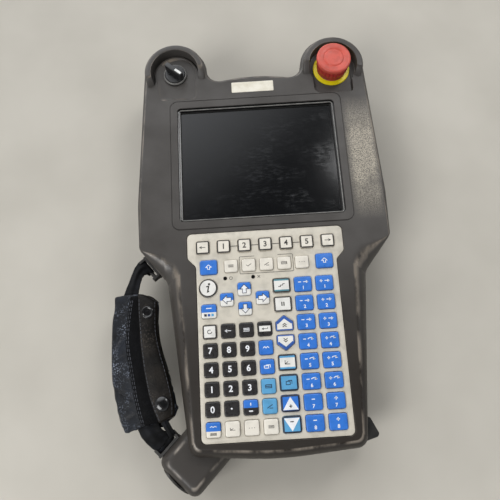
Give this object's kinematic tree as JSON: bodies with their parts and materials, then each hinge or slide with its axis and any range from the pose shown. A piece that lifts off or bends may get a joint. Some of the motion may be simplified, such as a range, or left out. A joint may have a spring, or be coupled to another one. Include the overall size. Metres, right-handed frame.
{
  "type": "teach pendant",
  "caption": "Hand-held robot teach pendant: two-shell housing with colour display, keypad, emergency stop, selector switch, rear enabling levers and a padded hand strap.",
  "frame": {"origin": "on the centreline of the rear rest face, midway between the lobe tops and the lower edge", "axes": "+Z out of the front face, +Y towards the display and the two lobes, +X towards the emergency stop side"},
  "size_m": [0.2356, 0.3843, 0.076],
  "materials": {
    "front_shell_plastic": "fine moulded texture, rubbed smooth at the edges",
    "rear_shell_plastic": "fine moulded texture",
    "black_rubber": "dull",
    "faceplate_beige": "satin",
    "silicone_grey": "dull",
    "circuit_board": "solder mask",
    "display_glass": "smooth, smudged",
    "sheet_metal": "bright",
    "lamp_lens": "clear over black",
    "stop_yellow": "satin",
    "stop_red": "satin, rubbed",
    "bright_metal": "plated",
    "black_plastic": "satin",
    "white_plastic": "satin",
    "black_webbing": "woven",
    "black_leather": "grained",
    "black_metal": "satin",
    "key_beige": "satin",
    "key_black": "satin",
    "key_white": "satin",
    "key_blue": "satin"
  },
  "bodies": {
    "housing": {"front_housing": "front_shell_plastic", "rear_housing": "rear_shell_plastic", "housing_gasket": "black_rubber", "key_faceplate": "faceplate_beige", "keypad_mat": "silicone_grey", "key_board": "circuit_board", "display_gasket": "black_rubber", "touch_panel": "display_glass", "lcd_module": "sheet_metal", "main_board": "circuit_board", "status_lamps": "lamp_lens", "stop_bezel": "stop_yellow", "stop_contact_block": "black_plastic", "selector_bezel": "black_plastic", "selector_switch_block": "black_plastic", "panel_nuts": "bright_metal", "enabling_switches": "black_plastic", "lever_pins": "bright_metal", "cable_outlet": "rear_shell_plastic", "cable_connector": "bright_metal", "strap_webbing": "black_webbing", "hand_pad": "black_leather", "snap_fasteners": "black_metal", "strap_anchors": "black_metal", "housing_screws": "black_metal", "corner_bumper": "black_rubber"},
    "stop_stem": {"stop_stem": "bright_metal"},
    "stop_head": {"stop_head": "stop_red"},
    "selector": {"selector_knob": "black_plastic", "selector_pointer": "white_plastic"},
    "enabling_lever_left": {"enabling_lever_left": "black_plastic"},
    "enabling_lever_right": {"enabling_lever_right": "black_plastic"},
    "key_function_row": {"key_function_row": "key_beige"},
    "key_menu_row": {"key_menu_row": "key_beige"},
    "key_shift_left": {"key_shift_left": "key_blue"},
    "key_shift_right": {"key_shift_right": "key_blue"},
    "key_info": {"key_info": "key_white"},
    "key_display": {"key_display": "key_blue"},
    "key_arrows": {"key_arrows": "key_white"},
    "key_step": {"key_step": "key_white"},
    "key_hold": {"key_hold": "key_white"},
    "key_forward": {"key_forward": "key_blue"},
    "key_backward": {"key_backward": "key_blue"},
    "key_frame_select": {"key_frame_select": "key_white"},
    "key_speed": {"key_speed": "key_blue"},
    "key_row_edit": {"key_row_edit": "key_black"},
    "key_row_789": {"key_row_789": "key_black"},
    "key_row_456": {"key_row_456": "key_black"},
    "key_row_123": {"key_row_123": "key_black"},
    "key_row_0": {"key_row_0": "key_black"},
    "key_column_macro": {"key_column_macro": "key_blue"},
    "key_row_bottom": {"key_row_bottom": "key_beige"},
    "jog_1": {"jog_1": "key_blue"},
    "jog_2": {"jog_2": "key_blue"},
    "jog_3": {"jog_3": "key_blue"},
    "jog_4": {"jog_4": "key_blue"},
    "jog_5": {"jog_5": "key_blue"},
    "jog_6": {"jog_6": "key_blue"},
    "jog_7": {"jog_7": "key_blue"},
    "jog_8": {"jog_8": "key_blue"}
  },
  "joints": [
    {"name": "stop_press", "type": "slide", "parent": "housing", "child": "stop_stem", "axis": [0, 0, -1], "range_m": [0, 0.0045], "stiffness_N_per_m": 1000, "springref_m": -0.003},
    {"name": "stop_twist", "type": "hinge", "parent": "stop_stem", "child": "stop_head", "pos_m": [0.0713, 0.1475, 0.07], "axis": [0, 0, -1], "range_deg": [0, 45], "stiffness_Nm_per_rad": 0.05},
    {"name": "selector_turn", "type": "hinge", "parent": "housing", "child": "selector", "pos_m": [-0.0705, 0.1495, 0.06], "axis": [0, 0, 1], "range_deg": [-90, 0]},
    {"name": "enabling_lever_left_squeeze", "type": "hinge", "parent": "housing", "child": "enabling_lever_left", "pos_m": [-0.0535, -0.058, 0.02], "axis": [-1, 0, 0], "range_deg": [0, 3.5], "stiffness_Nm_per_rad": 4, "springref_deg": -2.86},
    {"name": "enabling_lever_right_squeeze", "type": "hinge", "parent": "housing", "child": "enabling_lever_right", "pos_m": [0.0535, -0.058, 0.02], "axis": [-1, 0, 0], "range_deg": [0, 3.5], "stiffness_Nm_per_rad": 4, "springref_deg": -2.86},
    {"name": "key_function_row_press", "type": "slide", "parent": "housing", "child": "key_function_row", "axis": [0, 0, -1], "range_m": [0, 0.0008], "stiffness_N_per_m": 400, "springref_m": -0.0015},
    {"name": "key_menu_row_press", "type": "slide", "parent": "housing", "child": "key_menu_row", "axis": [0, 0, -1], "range_m": [0, 0.0008], "stiffness_N_per_m": 400, "springref_m": -0.0015},
    {"name": "key_shift_left_press", "type": "slide", "parent": "housing", "child": "key_shift_left", "axis": [0, 0, -1], "range_m": [0, 0.0008], "stiffness_N_per_m": 400, "springref_m": -0.0015},
    {"name": "key_shift_right_press", "type": "slide", "parent": "housing", "child": "key_shift_right", "axis": [0, 0, -1], "range_m": [0, 0.0008], "stiffness_N_per_m": 400, "springref_m": -0.0015},
    {"name": "key_info_press", "type": "slide", "parent": "housing", "child": "key_info", "axis": [0, 0, -1], "range_m": [0, 0.0008], "stiffness_N_per_m": 400, "springref_m": -0.0015},
    {"name": "key_display_press", "type": "slide", "parent": "housing", "child": "key_display", "axis": [0, 0, -1], "range_m": [0, 0.0008], "stiffness_N_per_m": 400, "springref_m": -0.0015},
    {"name": "key_arrows_press", "type": "slide", "parent": "housing", "child": "key_arrows", "axis": [0, 0, -1], "range_m": [0, 0.0008], "stiffness_N_per_m": 400, "springref_m": -0.0015},
    {"name": "key_step_press", "type": "slide", "parent": "housing", "child": "key_step", "axis": [0, 0, -1], "range_m": [0, 0.0008], "stiffness_N_per_m": 400, "springref_m": -0.0015},
    {"name": "key_hold_press", "type": "slide", "parent": "housing", "child": "key_hold", "axis": [0, 0, -1], "range_m": [0, 0.0008], "stiffness_N_per_m": 400, "springref_m": -0.0015},
    {"name": "key_forward_press", "type": "slide", "parent": "housing", "child": "key_forward", "axis": [0, 0, -1], "range_m": [0, 0.0008], "stiffness_N_per_m": 400, "springref_m": -0.0015},
    {"name": "key_backward_press", "type": "slide", "parent": "housing", "child": "key_backward", "axis": [0, 0, -1], "range_m": [0, 0.0008], "stiffness_N_per_m": 400, "springref_m": -0.0015},
    {"name": "key_frame_select_press", "type": "slide", "parent": "housing", "child": "key_frame_select", "axis": [0, 0, -1], "range_m": [0, 0.0008], "stiffness_N_per_m": 400, "springref_m": -0.0015},
    {"name": "key_speed_press", "type": "slide", "parent": "housing", "child": "key_speed", "axis": [0, 0, -1], "range_m": [0, 0.0008], "stiffness_N_per_m": 400, "springref_m": -0.0015},
    {"name": "key_row_edit_press", "type": "slide", "parent": "housing", "child": "key_row_edit", "axis": [0, 0, -1], "range_m": [0, 0.0008], "stiffness_N_per_m": 400, "springref_m": -0.0015},
    {"name": "key_row_789_press", "type": "slide", "parent": "housing", "child": "key_row_789", "axis": [0, 0, -1], "range_m": [0, 0.0008], "stiffness_N_per_m": 400, "springref_m": -0.0015},
    {"name": "key_row_456_press", "type": "slide", "parent": "housing", "child": "key_row_456", "axis": [0, 0, -1], "range_m": [0, 0.0008], "stiffness_N_per_m": 400, "springref_m": -0.0015},
    {"name": "key_row_123_press", "type": "slide", "parent": "housing", "child": "key_row_123", "axis": [0, 0, -1], "range_m": [0, 0.0008], "stiffness_N_per_m": 400, "springref_m": -0.0015},
    {"name": "key_row_0_press", "type": "slide", "parent": "housing", "child": "key_row_0", "axis": [0, 0, -1], "range_m": [0, 0.0008], "stiffness_N_per_m": 400, "springref_m": -0.0015},
    {"name": "key_column_macro_press", "type": "slide", "parent": "housing", "child": "key_column_macro", "axis": [0, 0, -1], "range_m": [0, 0.0008], "stiffness_N_per_m": 400, "springref_m": -0.0015},
    {"name": "key_row_bottom_press", "type": "slide", "parent": "housing", "child": "key_row_bottom", "axis": [0, 0, -1], "range_m": [0, 0.0008], "stiffness_N_per_m": 400, "springref_m": -0.0015},
    {"name": "jog_1_press", "type": "slide", "parent": "housing", "child": "jog_1", "axis": [0, 0, -1], "range_m": [0, 0.0008], "stiffness_N_per_m": 400, "springref_m": -0.0015},
    {"name": "jog_2_press", "type": "slide", "parent": "housing", "child": "jog_2", "axis": [0, 0, -1], "range_m": [0, 0.0008], "stiffness_N_per_m": 400, "springref_m": -0.0015},
    {"name": "jog_3_press", "type": "slide", "parent": "housing", "child": "jog_3", "axis": [0, 0, -1], "range_m": [0, 0.0008], "stiffness_N_per_m": 400, "springref_m": -0.0015},
    {"name": "jog_4_press", "type": "slide", "parent": "housing", "child": "jog_4", "axis": [0, 0, -1], "range_m": [0, 0.0008], "stiffness_N_per_m": 400, "springref_m": -0.0015},
    {"name": "jog_5_press", "type": "slide", "parent": "housing", "child": "jog_5", "axis": [0, 0, -1], "range_m": [0, 0.0008], "stiffness_N_per_m": 400, "springref_m": -0.0015},
    {"name": "jog_6_press", "type": "slide", "parent": "housing", "child": "jog_6", "axis": [0, 0, -1], "range_m": [0, 0.0008], "stiffness_N_per_m": 400, "springref_m": -0.0015},
    {"name": "jog_7_press", "type": "slide", "parent": "housing", "child": "jog_7", "axis": [0, 0, -1], "range_m": [0, 0.0008], "stiffness_N_per_m": 400, "springref_m": -0.0015},
    {"name": "jog_8_press", "type": "slide", "parent": "housing", "child": "jog_8", "axis": [0, 0, -1], "range_m": [0, 0.0008], "stiffness_N_per_m": 400, "springref_m": -0.0015}
  ]
}
